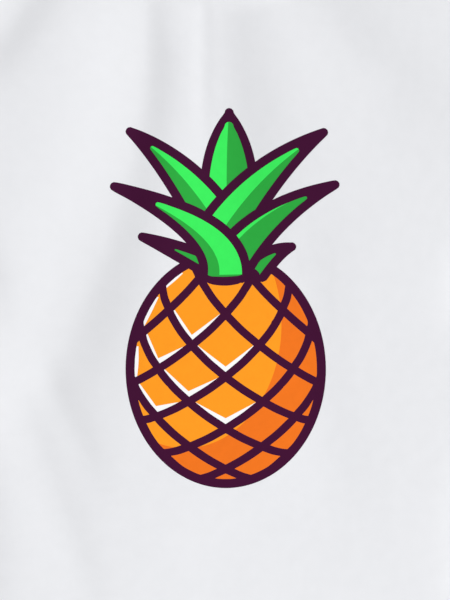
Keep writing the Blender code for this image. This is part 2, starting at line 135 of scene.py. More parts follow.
def leans(loop):
    """How far the chords before and after each point of an outline lean off a smooth curve.

    Both are 0 at a true corner. A long chord leans only as much as its sag allows.
    """
    found = []
    for i, here in enumerate(loop):
        last, following = loop[i - 1], loop[(i + 1) % len(loop)]
        before, after = math.dist(last, here), math.dist(here, following)
        turn = math.remainder(math.atan2(following[1] - here[1], following[0] - here[0])
                              - math.atan2(here[1] - last[1], here[0] - last[0]), 2 * math.pi)
        if abs(turn) > (CAP_TURN if max(before, after) < CAP_CHORD else JOINT_TURN):
            found.append((0.0, 0.0))
            continue
        longer = max(before, after)
        share = abs(turn) * longer / (before + after)
        share = math.copysign(min(share, 4 * CHORD_SAG / longer), turn)
        found.append((share, turn - share) if before >= after else (turn - share, share))
    return found


def rounded(loop, spacing):
    """An outline cut to at most spacing, and each point's step from its chord to the curve."""
    angles = leans(loop)
    made, steps_out = [], []
    for i, (ax, ay) in enumerate(loop):
        j = (i + 1) % len(loop)
        dx, dy = loop[j][0] - ax, loop[j][1] - ay
        steps = max(1, math.ceil(math.hypot(dx, dy) / spacing))
        for t in (k / steps for k in range(steps)):
            bulge = (math.tan(angles[i][1]) * t * (1 - t) ** 2
                     + math.tan(angles[j][0]) * t * t * (1 - t))
            made.append((ax + dx * t, ay + dy * t))
            steps_out.append((dy * bulge, -dx * bulge))
    return made, steps_out


def from_neck_point(loop):
    """A body panel's outline, started at the neck point on the +X side and run down that side."""
    start = max(range(len(loop)), key=lambda i: (round(loop[i][1], 5), loop[i][0]))
    loop = loop[start:] + loop[:start]
    return loop if loop[1][0] > loop[0][0] else [loop[0]] + loop[:0:-1]


def neck_curve(loop):
    """The neck edge of a body panel, from the neck point on the +X side to the other one."""
    far = max(range(1, len(loop)), key=lambda i: (loop[i][1], -loop[i][0]))
    return loop[:1] + loop[:far - 1:-1]


FRONT_LOOP = from_neck_point(max(flat_loops("front_body"), key=len))
BACK_LOOP = from_neck_point(max(flat_loops("back_body"), key=len))
FRONT_NECK, BACK_NECK = neck_curve(FRONT_LOOP), neck_curve(BACK_LOOP)
SIDE_X = max(x for x, _ in FRONT_LOOP)
NECK_POINT = FRONT_LOOP[0]
armpit_index = next(i for i, (x, _) in enumerate(FRONT_LOOP) if x > SIDE_X - 0.01 * MM)
ARMHOLE = FRONT_LOOP[1:armpit_index + 1]     # shoulder point to armpit, on the +X side
SHOULDER_POINT, ARMPIT = ARMHOLE[0], ARMHOLE[-1]
SLEEVE_SEAM = [(x + SLEEVE_GAP, y) for x, y in ARMHOLE]
sleeve_points = flat_loops("left_sleeve_front")[0]
CUFF_TOP = max(sleeve_points)
CUFF_BOTTOM = min(sleeve_points, key=lambda p: p[1])
OUTER_EDGES = [np.array(line) for line in (
    (NECK_POINT, SHOULDER_POINT, CUFF_TOP), (CUFF_BOTTOM, ARMPIT, (SIDE_X, HEM_Y)))]


# ---------------------------------------------------------------- how the cloth lies
def curve_through(points, steps=8):
    """A smooth path through given points (Catmull-Rom)."""
    ends = [points[0]] + list(points) + [points[-1]]
    path = []
    for a, b, c, d in zip(ends, ends[1:], ends[2:], ends[3:]):
        for i in range(steps):
            t = i / steps
            weights = (-t + 2 * t * t - t ** 3, 2 - 5 * t * t + 3 * t ** 3,
                       t + 4 * t * t - 3 * t ** 3, t ** 3 - t * t)
            path.append(tuple(sum(w * p[k] for w, p in zip(weights, (a, b, c, d))) / 2
                              for k in (0, 1)))
    return np.array(path + [points[-1]])


def beside(path, points):
    """Each point's signed distance from a path (positive to its left) and its share along it."""
    best = np.full(len(points), 1e9)
    signed = np.zeros(len(points))
    share = np.zeros(len(points))
    count = len(path) - 1
    for i in range(count):
        start, step = path[i], path[i + 1] - path[i]
        offset = points - start
        t = np.clip(offset @ step / (step @ step), 0, 1)
        away = offset - t[:, None] * step
        distance = np.hypot(away[:, 0], away[:, 1])
        side = np.where(step[0] * offset[:, 1] - step[1] * offset[:, 0] >= 0, 1.0, -1.0)
        nearer = distance < best
        best = np.where(nearer, distance, best)
        signed = np.where(nearer, side * distance, signed)
        share = np.where(nearer, (i + t) / count, share)
    return signed, share


def smooth(low, high, x):
    """0 below low, 1 above high, and an S-curve between; low may be the larger of the two."""
    t = np.clip((x - low) / (high - low), 0, 1)
    return t * t * (3 - 2 * t)


def bell(distance, width):
    return np.exp(-(distance / width) ** 2)


def wave(along, across, length, bend, bend_length, phase=0.0):
    """A wave along one axis whose crests bend as they run along the other."""
    return np.sin(along / length + bend * np.sin(across / bend_length) + phase)


# Each fold in mm: points of its crest line, from the print's middle, its height, and its widths to
# the left and to the right of the way the line runs, each at the line's start and at its end.
FOLDS = (
    # the long fold on the wearer's right, which opens out beside the fruit
    (((-66, 300), (-66, 240), (-65, 180), (-75, 120), (-89, 70), (-112, 10), (-140, -60),
      (-158, -130), (-172, -210)), 6.0, (12.5, 46), (46, 56)),
    (((-150, -40), (-134, -84), (-116, -120), (-100, -170)), 1.5, (12, 16), (16, 20)),
    # the ridge over the middle leaf, with its long side away from the window
    (((-7, 300), (-7, 240), (-5, 160), (2, 60), (8, -40)), 6.0, (33, 46), (58, 58)),
    (((-17, 300), (-17, 240), (-17, 170), (-16, 90)), 0.6, (5, 6), (6, 7)),
    # the corner folds under the shoulders
    (((-140, 300), (-156, 250), (-184, 206), (-220, 160)), 3.8, (20, 20), (26, 30)),
    (((58, 300), (62, 250), (78, 222), (116, 180), (160, 158), (240, 148)), 4.0, (32, 26), (28, 56)),
    (((196, 290), (204, 240), (216, 206), (262, 196)), 1.2, (16, 16), (22, 20)),
    # faint creases lower down
    (((-176, -60), (-150, -120), (-122, -200), (-100, -280)), 1.6, (14, 16), (24, 26)),
    (((62, 90), (66, 0), (78, -110), (108, -210)), 1.6, (26, 26), (30, 34)),
    (((-40, -220), (20, -190), (110, -230), (200, -250)), 1.0, (30, 30), (40, 40)),
    # beyond the view: from the armpits, down the sides and above the hem
    (((-250, 78), (-218, 60), (-196, 20), (-190, -40)), 3.4, (14, 20), (12, 20)),
    (((250, 78), (218, 60), (198, 12), (192, -50)), 3.4, (12, 20), (14, 20)),
    (((-236, -60), (-204, -130), (-198, -220), (-210, -330)), 2.8, (16, 20), (20, 22)),
    (((236, -40), (206, -120), (200, -230), (212, -330)), 2.8, (20, 22), (16, 20)),
    (((-120, -290), (-60, -310), (30, -318), (90, -350)), 1.8, (18, 20), (22, 24)),
)


FOLD_START, FOLD_END = 0.25, 0.35            # shares of a fold over which it rises and dies away
SLACK = 0.6                                  # mm that the cloth stands off the layer below


def relief(points):
    """Height of the top layer of cloth above where it would lie flat, in metres."""
    local = (points - np.array(PRINT_MIDDLE)) / MM
    height = np.zeros(len(points))
    for line, crest, left, right in FOLDS:
        signed, share = beside(curve_through(line), local)
        left = left[0] + (left[1] - left[0]) * share
        right = right[0] + (right[1] - right[0]) * share
        fade = smooth(0, FOLD_START, share) * smooth(0, FOLD_END, 1 - share)
        height += crest * bell(signed, np.where(signed > 0, left, right)) * fade
    x, y = local.T
    height += 0.35 * wave(x, y, length=37, bend=0.6, bend_length=61)
    height += 0.30 * wave(y, x, length=53, bend=1.1, bend_length=83, phase=1)
    return np.maximum(height + SLACK, 0) * MM * edge_fade(points)


def mirror(points):
    """The same points on the +X side."""
    return np.column_stack([np.abs(points[:, 0]), points[:, 1]])


def distance_to(line, points):
    return np.abs(beside(np.array(line), points)[0])


def edge_fade(points, reach=26 * MM, neck_reach=(-4 * MM, 20 * MM)):
    """Folds die away towards the sewn and folded edges, where the cloth lies on the cloth below."""
    nearest = np.minimum(*(distance_to(edge, mirror(points)) for edge in OUTER_EDGES))
    return smooth(0, reach, nearest) * smooth(*neck_reach, distance_to(FRONT_NECK, points))


def rolled(distance, radius=2.2 * MM, drop=1.5 * MM):
    """How much lower cloth lies at a rounded edge, by its distance from that edge."""
    inward = np.clip(distance / radius, 0, 1)
    return drop * (1 - np.sqrt(1 - (1 - inward) ** 2))


# ---------------------------------------------------------------- meshes
def new_object(name, vertices, faces, material):
    mesh = bpy.data.meshes.new(name)
    mesh.from_pydata([tuple(v) for v in vertices], [], [tuple(f) for f in faces])
    mesh.validate()
    mesh.shade_smooth()
    made = bpy.data.objects.new(name, mesh)
    bpy.context.scene.collection.objects.link(made)
    mesh.materials.append(material)
    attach(made, "root")
    return made


def add_uv(obj, coordinates):
    """A UV map in which one unit is 100 mm of cloth, from a place on the flat cloth per point."""
    layer = obj.data.uv_layers.new(name="cloth")
    corners = np.empty(len(obj.data.loops), dtype=np.int32)
    obj.data.loops.foreach_get("vertex_index", corners)
    layer.data.foreach_set("uv", (np.asarray(coordinates)[corners] * 10).ravel())


def thicken(obj, thickness, weights=None):
    """Cloth thickness, away from the face that shows; weights thin it point by point."""
    solid = obj.modifiers.new("cloth", "SOLIDIFY")
    solid.thickness = thickness
    solid.offset = -1
    if weights is not None:
        group = obj.vertex_groups.new(name="thickness")
        for index, weight in enumerate(weights):
            group.add([index], float(weight), "REPLACE")
        solid.vertex_group = group.name


def cut_edges(obj, angle=math.radians(40)):
    """Applies the thickness and keeps the cut rim crisp instead of shading it round."""
    view = bpy.context.evaluated_depsgraph_get()
    mesh = bpy.data.meshes.new_from_object(obj.evaluated_get(view))
    obj.modifiers.clear()
    obj.data = mesh
    mesh.set_sharp_from_angle(angle=angle)


def inside(loops, points):
    """Whether each point lies inside outlines with holes, by the even-odd rule."""
    odd = np.zeros(len(points), bool)
    x, y = points[:, 0], points[:, 1]
    for loop in loops:
        for (ax, ay), (bx, by) in zip(loop, loop[1:] + loop[:1]):
            if ay == by:
                continue
            crosses = (ay > y) != (by > y)
            odd ^= crosses & (x < ax + (y - ay) * (bx - ax) / (by - ay))
    return odd


def nearest_edge(loop, points):
    """Each point's distance from a closed outline."""
    return distance_to(loop + loop[:1], points)


def triangulate(loop, spacing, extra_loops=(), rims=()):
    """Triangles that fill an outline, on an even lattice of points.

    Any extra loops are cut in as edges, and rims are distances inside the outline at which it gets
    further points, for its edge to be rounded.
    """
    outer = densify(loop, spacing)
    points = list(outer)
    edges = [(i, (i + 1) % len(outer)) for i in range(len(outer))]
    for extra in extra_loops:
        base = len(points)
        points += extra
        edges += [(base + i, base + (i + 1) % len(extra)) for i in range(len(extra))]
    low, high = np.min(outer, 0), np.max(outer, 0)
    rows = int((high[1] - low[1]) / (spacing * LATTICE_ROW))
    columns = int((high[0] - low[0]) / spacing) + 1
    grid = np.array([(low[0] + (c + 0.5 * (r % 2)) * spacing, low[1] + r * spacing * LATTICE_ROW)
                     for r in range(rows + 1) for c in range(columns)])
    grid = grid[inside([outer], grid)]
    keep = nearest_edge(outer, grid) > spacing * CLEAR_OF_OUTLINE
    for extra in extra_loops:
        clear = nearest_edge(extra, grid[keep]) > spacing * CLEAR_OF_PRINT
        keep[np.flatnonzero(keep)[~clear]] = False
    points += [tuple(p) for p in grid[keep]]
    for distance in rims:
        points += rim_points(outer, distance)
    cut = delaunay_2d_cdt([Vector(p) for p in points], edges, [], 0, MERGED, False)
    made = np.array([tuple(v) for v in cut[0]])
    faces = np.array([f for f in cut[2] if len(f) == 3])
    corners = made[faces]
    faces = faces[inside([outer], corners.mean(1)) & (doubled_area(corners) > SLIVER)]
    used, packed = np.unique(faces, return_inverse=True)
    return made[used], packed.reshape(-1, 3)


def doubled_area(corners):
    """Twice the signed area of each triangle."""
    ab, ac = corners[:, 1] - corners[:, 0], corners[:, 2] - corners[:, 0]
    return ab[:, 0] * ac[:, 1] - ab[:, 1] * ac[:, 0]


def moved_to_curves(points, faces, places, moves, passes=6, least=0.3):
    """The points that lie on an outline, moved onto its smooth curve.

    A point stays where it is if its move would leave a triangle less than a share of its area.
    """
    known = {}
    for (x, y), move in zip(places, moves):
        known.setdefault((round(x, 5), round(y, 5)), move)
    step = np.array([known.get((round(x, 5), round(y, 5)), (0.0, 0.0)) for x, y in points])
    before = doubled_area(points[faces])
    for _ in range(passes):
        after = doubled_area((points + step)[faces])
        step[np.unique(faces[after < least * before])] = 0
    return points + step


def rim_points(loop, distance):
    """Points at a distance inside an outline, apart from those that another side comes near."""
    path = np.array(loop)
    ahead = np.roll(path, -1, 0) - np.roll(path, 1, 0)
    normal = np.stack([-ahead[:, 1], ahead[:, 0]], 1) / np.hypot(*ahead.T)[:, None]
    if not inside([loop], (path + normal * 0.1 * MM)[:1])[0]:
        normal = -normal
    moved = path + normal * distance
    moved = moved[inside([loop], moved)]
    return [tuple(p) for p in moved[nearest_edge(loop, moved) > distance * 0.9]]


# ---------------------------------------------------------------- materials
def srgb(*levels):
    """Linear colour from screen levels of 0 to 255, each above 10."""
    return tuple(((v / 255 + 0.055) / 1.055) ** 2.4 for v in levels)


def shader(name, colour, roughness, sheen=0.0, specular=0.5):
    made = bpy.data.materials.new(name)
    made.use_nodes = True
    bsdf = made.node_tree.nodes["Principled BSDF"]
    bsdf.inputs["Base Color"].default_value = (*colour, 1)
    bsdf.inputs["Roughness"].default_value = roughness
    bsdf.inputs["Sheen Weight"].default_value = sheen
    bsdf.inputs["Specular IOR Level"].default_value = specular
    return made


class Graph:
    """Short forms for wiring a material's nodes."""

    def __init__(self, material):
        self.nodes = material.node_tree.nodes
        self.links = material.node_tree.links
        self.bsdf = self.nodes["Principled BSDF"]

    def add(self, kind, inputs=(), **settings):
        node = self.nodes.new(kind)
        for key, value in settings.items():
            setattr(node, key, value)
        for socket, value in dict(inputs).items():
            if isinstance(value, bpy.types.NodeSocket):
                self.links.new(value, node.inputs[socket])
            else:
                node.inputs[socket].default_value = value
        return node

    def math(self, operation, a, b=0.0):
        return self.add("ShaderNodeMath", {0: a, 1: b}, operation=operation).outputs[0]

    def waves(self, place, length):
        """A sine along a coordinate of the cloth map, with a wavelength in mm."""
        turns = self.math("MULTIPLY", place, 2 * math.pi * 100 / length)
        return self.math("SINE", turns)

    def cloth_axes(self):
        """The cloth map, and its two coordinates, across the cloth and along it."""
        uv = self.add("ShaderNodeUVMap", uv_map="cloth").outputs[0]
        split = self.add("ShaderNodeSeparateXYZ", {0: uv})
        return uv, split.outputs[0], split.outputs[1]

    def knit(self, wale=0.85, course=0.62):
        """Height of a plain knit's columns of V stitches; sizes in mm, on the cloth map."""
        uv, across, along = self.cloth_axes()
        column = self.math("MULTIPLY", across, 100 / wale)
        lean = self.math("ABSOLUTE", self.math("SUBTRACT", self.math("FRACT", column), 0.5))
        row = self.math("MULTIPLY", along, 100 / course)
        leg = self.math("FRACT", self.math("ADD", row, self.math("MULTIPLY", lean, 1.3)))
        arch = self.math("SINE", self.math("MULTIPLY", leg, math.pi))
        groove = self.math("SINE", self.math("MULTIPLY", lean, 2 * math.pi))
        return uv, self.math("MULTIPLY", arch, groove)

    def bump(self, height, distance, strength, normal=None):
        """Relief too fine for the mesh, laid over any coarser relief given as normal."""
        inputs = {"Height": height, "Distance": distance, "Strength": strength}
        if normal is not None:
            inputs["Normal"] = normal
        return self.add("ShaderNodeBump", inputs).outputs[0]

    def tint(self, texture, low, high):
        """Base colour that drifts between two colours with a texture."""
        mix = self.add("ShaderNodeMix", {0: texture}, data_type="RGBA")
        mix.inputs[6].default_value = (*low, 1)
        mix.inputs[7].default_value = (*high, 1)
        self.links.new(mix.outputs[2], self.bsdf.inputs["Base Color"])


WHITE = (0.80, 0.805, 0.825)


def shade(colour, share):
    """A colour made darker or lighter by a share."""
    return [min(1.0, c * share) for c in colour]


def jersey_material():
    made = shader("white_jersey", WHITE, 0.92, sheen=0.12, specular=0.2)
    made.node_tree.nodes["Principled BSDF"].inputs["Sheen Roughness"].default_value = 0.6
    graph = Graph(made)
    uv, knit = graph.knit()
    slub = graph.add("ShaderNodeTexNoise", {"Vector": uv, "Scale": 9.0, "Detail": 5.0})
    fibre = graph.add("ShaderNodeTexNoise", {"Vector": uv, "Scale": 260.0, "Detail": 3.0})
    crumple = graph.add("ShaderNodeTexNoise", {"Vector": uv, "Scale": 2.2, "Detail": 3.0})
    graph.tint(slub.outputs[0], shade(WHITE, 0.975), shade(WHITE, 1.02))
    soft = graph.bump(crumple.outputs[0], 0.0012, 0.5)
    fuzz = graph.bump(fibre.outputs[0], 0.00012, 0.5, soft)
    graph.links.new(graph.bump(knit, 0.00012, 0.45, fuzz), graph.bsdf.inputs["Normal"])
    return made


def rib_material():
    made = shader("white_rib", WHITE, 0.9, sheen=0.12, specular=0.2)
    graph = Graph(made)
    uv, knit = graph.knit(wale=0.75, course=0.7)
    fibre = graph.add("ShaderNodeTexNoise", {"Vector": uv, "Scale": 300.0, "Detail": 3.0})
    graph.tint(fibre.outputs[0], shade(WHITE, 0.97), WHITE)
    graph.links.new(graph.bump(knit, 0.0001, 0.5), graph.bsdf.inputs["Normal"])
    return made


def thread_material():
    made = shader("white_thread", (0.84, 0.845, 0.86), 0.6, sheen=0.1, specular=0.4)
    graph = Graph(made)
    place = graph.add("ShaderNodeTexCoord").outputs["Object"]
    twist_and_painted_shade = graph.add("ShaderNodeTexWave", {"Vector": place, "Scale": 900.0, "Distortion": 2.0},
                      bands_direction="DIAGONAL")
    # painted shade: the colour follows the twist's height, darker in its grooves and lighter on its
    # ridges
    graph.tint(twist_and_painted_shade.outputs[0], (0.76, 0.765, 0.78), (0.86, 0.865, 0.88))
    graph.links.new(graph.bump(twist_and_painted_shade.outputs[0], 0.0001, 0.6), graph.bsdf.inputs["Normal"])
    return made


def tape_material():
    """Herringbone cotton tape: diagonal ribs that turn back in narrow stripes, with painted shade
    darkening the grooves between the ribs.
    """
    made = shader("woven_tape", (0.82, 0.82, 0.83), 0.85, sheen=0.1, specular=0.25)
    graph = Graph(made)
    place = graph.add("ShaderNodeTexCoord").outputs["Object"]
    split = graph.add("ShaderNodeSeparateXYZ", {0: place})
    across, along = (graph.math("MULTIPLY", split.outputs[k], 10) for k in (0, 1))
    fold = graph.math("PINGPONG", graph.math("MULTIPLY", along, 100 / 2.5), 1.0)
    ribs = graph.math("ADD", graph.math("MULTIPLY", across, 100 / 1.1), fold)
    height = graph.math("SINE", graph.math("MULTIPLY", ribs, 2 * math.pi))
    # painted shade: the colour follows the rib height, darker in the grooves and lighter on the ribs
    graph.tint(height, (0.76, 0.76, 0.77), (0.84, 0.84, 0.85))
    graph.links.new(graph.bump(height, 0.00015, 0.7), graph.bsdf.inputs["Normal"])
    return made


def label_material():
    """Smooth satin tape with nothing woven into it; its fine weave carries painted shade in its
    troughs.
    """
    made = shader("label_satin", (0.85, 0.85, 0.85), 0.4, sheen=0.2)
    graph = Graph(made)
    weave_and_painted_shade = graph.waves(graph.cloth_axes()[2], 0.35)
    # painted shade: the colour follows the weave's height, darker in its troughs and lighter on its
    # ridges
    graph.tint(weave_and_painted_shade, (0.80, 0.80, 0.80), (0.88, 0.88, 0.88))
    graph.links.new(graph.bump(weave_and_painted_shade, 0.00005, 0.5), graph.bsdf.inputs["Normal"])
    return made


def ink_material(name, colour):
    """A soft screen-print film that shows a little of the knit under it."""
    made = shader(name, colour, 0.7, specular=0.05)
    graph = Graph(made)
    uv, knit = graph.knit()
    cloud = graph.add("ShaderNodeTexNoise", {"Vector": uv, "Scale": 14.0, "Detail": 6.0})
    graph.tint(cloud.outputs[0], shade(colour, 0.94), shade(colour, 1.05))
    fine = graph.add("ShaderNodeTexNoise", {"Vector": uv, "Scale": 420.0, "Detail": 3.0})
    pits = graph.bump(fine.outputs[0], 0.00006, 0.5)
    graph.links.new(graph.bump(knit, 0.00008, 0.3, pits), graph.bsdf.inputs["Normal"])
    return made


# ---------------------------------------------------------------- panels
def hem_weight(points):
    """Cloth thickness as a share of a hem's two layers."""
    return np.where(points[:, 1] < HEM_Y + HEM, 1.0, 0.5)


def hem_relief(along, edge_distance):
    """The hem's second layer stands a little proud and puckers along its stitching."""
    layer = smooth(HEM + 1 * MM, HEM - 1.5 * MM, edge_distance)
    groove = bell(edge_distance - HEM + 1.5 * MM, 1.6 * MM)
    pucker = wave(along, along, length=3.1 * MM, bend=2.0, bend_length=17 * MM)
    return layer * 0.55 * MM - groove * (0.25 + 0.12 * pucker) * MM


def front_surface(points):
    """Height of the front panel's face: its relief, rounded sides, hem and sewn edges."""
    x, y = mirror(points).T
    height = TOP_Z + relief(points)
    height -= np.where(y < ARMPIT[1], rolled(SIDE_X - x), 0)
    height += hem_relief(points[:, 0], y - HEM_Y)
    seam = distance_to(ARMHOLE, mirror(points))
    height -= SEAM_DIP * bell(seam, SEAM_DIP_WIDTH)
    pucker = wave(y, y, length=4.3 * MM, bend=1.7, bend_length=23 * MM)
    height += 0.14 * MM * pucker * bell(seam - 4 * MM, 4 * MM)
    height -= NECK_DIP * bell(distance_to(FRONT_NECK, points), NECK_DIP_WIDTH)
    return height - rolled(distance_to([NECK_POINT, SHOULDER_POINT], mirror(points)))


def with_height(points, height):
    return np.column_stack([points, height])


def make_front(material):
    """The front panel, with the print's outlines cut into it, and the ink on each of its faces."""
    names = sorted(PRINT_NODES, key=lambda name: name != "print_outline")
    loops = [rounded(loop, PRINT_SPACING) for name in names for loop in flat_loops(name)]
    points, faces = triangulate(FRONT_LOOP, LATTICE, [loop for loop, _ in loops],
                                rims=(0.7 * MM, 1.6 * MM, 3 * MM))
    ink = print_cover(points[faces].mean(1))
    points = moved_to_curves(points, faces, *(sum(part, []) for part in zip(*loops)))
    surface = with_height(points, front_surface(points))
    front = new_object("front_panel", surface, faces, material)
    add_uv(front, points)
    thicken(front, 2 * JERSEY, hem_weight(points))
    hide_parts("front_body")
    return points, faces, surface, ink


def make_back(material):
    """The back panel lies flat, face down, and turns up a little at its sides."""
    points, faces = triangulate(BACK_LOOP, 2 * LATTICE, rims=(1.2 * MM, 2.4 * MM))
    side = SIDE_X - np.abs(points[:, 0])
    lift = np.where(points[:, 1] < ARMPIT[1], rolled(side, drop=0.7 * MM), 0)
    back = new_object("back_panel", with_height(points, lift + 0.02 * MM), faces[:, ::-1], material)
    add_uv(back, points)
    thicken(back, JERSEY)
    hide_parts("back_body")


PRINT_NODES = [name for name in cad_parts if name.startswith("print_")]
INKS = (
    ("print_outline", "plum_ink", srgb(64, 16, 50)),
    ("print_glint", "white_ink", (0.93, 0.93, 0.93)),
    ("print_leaf_light", "light_green_ink", srgb(61, 237, 94)),
    ("print_crown_shade", "dark_green_ink", srgb(46, 168, 64)),
    ("print_fruit_light", "light_orange_ink", srgb(254, 154, 34)),
    ("print_fruit_shade", "dark_orange_ink", srgb(238, 116, 31)),
)


def print_cover(middles):
    """The ink on each of these points, as its place in INKS, or -1 on bare cloth."""
    cover = np.full(len(middles), -1)
    for index, (prefix, _, _) in reversed(list(enumerate(INKS))):
        for name in PRINT_NODES:
            if name.startswith(prefix):
                cover[inside(flat_loops(name), middles)] = index
    return cover


def make_print(points, faces, surface, ink):
    """Ink films, cut from the front panel's own triangles and laid just above them."""
    normals = vertex_normals(surface, faces)
    for index, (prefix, slot, colour) in enumerate(INKS):
        names = [name for name in PRINT_NODES if name.startswith(prefix)]
        used, packed = np.unique(faces[ink == index], return_inverse=True)
        lifted = surface[used] + normals[used] * (INK + INK_GAP)
        film = new_object(slot, lifted, packed.reshape(-1, 3), ink_material(slot, colour))
        add_uv(film, points[used])
        thicken(film, INK)
        cut_edges(film)
        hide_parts(*names)


def vertex_normals(surface, faces):
    """The surface's own direction at each point, from the triangles round it by their area."""
    corners = surface[faces]
    flat = np.cross(corners[:, 1] - corners[:, 0], corners[:, 2] - corners[:, 0])
    total = np.zeros_like(surface)
    for k in range(3):
        np.add.at(total, faces[:, k], flat)
    return total / np.linalg.norm(total, axis=1)[:, None]


# ---------------------------------------------------------------- sleeves and neck band
def ring_faces(rings, around, closed=True):
    """Quads between consecutive rings of the same number of points."""
    faces = []
    for ring in range(rings - 1):
        for i in range(around if closed else around - 1):
            j = (i + 1) % around
            faces.append((ring * around + i, ring * around + j,
                          (ring + 1) * around + j, (ring + 1) * around + i))
    return faces


def lengths_along(path):
    """How far along a path each of its points lies."""
    return np.concatenate([[0], np.cumsum(np.linalg.norm(np.diff(path, axis=0), axis=1))])


def at_lengths(path, marks):
    """Points at these lengths along a path."""
    lengths = lengths_along(path)
    return np.stack([np.interp(marks, lengths, column) for column in np.array(path).T], -1)


def resample(path, count):
    """Points evenly spaced along a path."""
    return at_lengths(path, np.linspace(0, lengths_along(path)[-1], count))


def sleeve_ring(side, share, across):
    """One station of a sleeve, 0 at the armhole and 1 at the cuff.

    Its front points and its back points, both from the top fold to the underarm, the line in plan
    that they share on the +X side, and its distance down the sleeve.
    """
    seam = resample(SLEEVE_SEAM, across)
    cuff = resample([CUFF_TOP, CUFF_BOTTOM], across)
    line = seam + (cuff - seam) * share
    placed = line * np.array([side, 1])
    length = math.dist(SHOULDER_POINT, CUFF_TOP)
    from_cuff = np.full(across, (1 - share) * length)
    front = TOP_Z + relief(placed) + sleeve_folds(share, np.linspace(0, 1, across))
    front += hem_relief(placed[:, 1], from_cuff)
    front -= SEAM_DIP * bell(share * length, SEAM_DIP_WIDTH)
    index = np.arange(across)
    edge = np.minimum(index, index[::-1]) * math.dist(line[0], line[-1]) / (across - 1)
    middle_z = TOP_Z / 2
    half = middle_z - 0.05 * MM
    roll = np.sqrt(np.clip(1 - (1 - np.clip(edge / half, 0, 1)) ** 2, 0, 1))
    upper = with_height(placed, middle_z + (front - middle_z) * roll)
    lower = with_height(placed, middle_z - half * roll)
    return upper, lower, line, share * length


def make_sleeve(side, name, replaced, material, across=64, stations=64):
    """A flattened tube from the armhole to the folded cuff."""
    rings, flat = [], []
    for station in range(stations):
        upper, lower, line, down = sleeve_ring(side, station / (stations - 1), across)
        rings.append(np.concatenate([upper, lower[-2:0:-1]]))
        chart = np.column_stack([lengths_along(line), np.full(across, down)])
        flat.append(np.concatenate([chart, chart[-2:0:-1] * (-1, 1)]))
    faces = ring_faces(stations, len(rings[0]))
    if side < 0:
        faces = [f[::-1] for f in faces]
    flat = np.concatenate(flat)
    sleeve = new_object(name, np.concatenate(rings), faces, material)
    add_uv(sleeve, flat)
    from_cuff = flat[:, 1].max() - flat[:, 1]
    thicken(sleeve, 2 * JERSEY, np.where(from_cuff < HEM, 0.85, 0.5))
    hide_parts(*replaced)


def sleeve_folds(share, down):
    """Two soft folds along the sleeve, which drift down across it towards the cuff.

    share is 0 at the armhole and 1 at the cuff, down 0 at the top fold and 1 at the underarm.
    """
    centre = 0.30 + 0.35 * share
    height = 2.2 * bell(down - centre, 0.10) + 1.4 * bell(down - centre - 0.34, 0.08)
    sides = np.sin(np.pi * down) ** 0.6
    ends = smooth(0, 0.12, share) * (1 - 0.45 * smooth(0.7, 1, share))
    return height * sides * ends * MM


def make_neck_band(material, across=12, per_rib=4):
    """The ribbed band: one ring, folded at the shoulders, with ribs that run from seam to edge."""
    around = RIBS * per_rib
    ribs = RIB_HEIGHT * np.cos(np.arange(around) * 2 * math.pi / per_rib)
    rings, flat = [], []
    for share in np.linspace(0, 1, across):
        ring, facing = neck_ring(share, around)
        crown = 0.35 * MM * math.sin(math.pi * share)
        sunk = 0.5 * MM * (max(0, 1 - share / 0.1) + smooth(0.9, 1, share))
        ring[:, 2] += facing * ribs * smooth(0, 0.1, share)
        ring[:, 2] += np.maximum(facing, 0) * (crown - sunk)
        rings.append(ring)
        flat.append(np.column_stack([np.arange(around) * RIB_PITCH / per_rib,
                                     np.full(around, share * RIB_WIDTH)]))
    band = new_object("neck_band", np.concatenate(rings), ring_faces(across, around), material)
    add_uv(band, np.concatenate(flat))
    thicken(band, RIB_CLOTH)
    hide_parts("neck_rib")


def neck_ring(share, count):
    """A closed line round the band: along the front scoop, round a fold, and back behind.

    share is 0 at the seam and 1 at the band's edge. The second result is 1 on the front layer,
    -1 behind it, and in between round the folds.
    """
    inset, rise = 7 * MM, 14 * MM            # of the band's edge from its seam, at the shoulders
    seam_overlap = 0.2 * MM
    reach = NECK_POINT[0] - 2.1 * MM - inset * share
    shoulder_y = NECK_POINT[1] + rise * share
    lowest = seam_overlap + RIB_WIDTH * share
    drop = shoulder_y - min(y for _, y in FRONT_NECK) - lowest
    rear = shoulder_y - min(y for _, y in BACK_NECK) - lowest
    front_z, back_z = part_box("neck_rib")[1].z - 0.25 * MM, 0.2 * MM
    middle, radius = (front_z + back_z) / 2, (front_z - back_z) / 2
    out_x, out_y = rise / math.hypot(rise, inset), inset / math.hypot(rise, inset)
    front = [(reach * math.cos(a), shoulder_y + drop * math.sin(a), front_z)
             for a in np.linspace(math.pi, 2 * math.pi, 160)]
    back = [(reach * s, shoulder_y - rear * (1 - s * s), back_z)
            for s in np.cos(np.linspace(0, math.pi, 160))]
    right = [(reach + radius * math.sin(a) * out_x, shoulder_y + radius * math.sin(a) * out_y,
              middle + radius * math.cos(a)) for a in np.linspace(0, math.pi, 12)[1:-1]]
    left = [(-x, y, z) for x, y, z in right[::-1]]
    ring = resample(front + right + back + left + front[:1], count + 1)[:-1]
    return ring, (ring[:, 2] - middle) / radius


def make_label(material, columns=16, rows=14):
    """A blank woven label, sewn in along its top edge and lifting a little at its free end."""
    low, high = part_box("size_label")
    width, height = high.x - low.x, high.y - low.y
    points, flat = [], []
    for down in np.linspace(0, 1, rows):
        for across in np.linspace(0, 1, columns):
            lift = 0.8 * MM * down ** 2 + 0.25 * MM * down * math.sin(5 * across)
            points.append((low.x + width * across, high.y - height * down, high.z + lift))
            flat.append((width * across, height * down))
    faces = ring_faces(rows, columns, closed=False)
    label = new_object("neck_label", points, [f[::-1] for f in faces], material)
    add_uv(label, np.array(flat))
    thicken(label, 0.3 * MM)
    cut_edges(label)
    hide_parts("size_label")


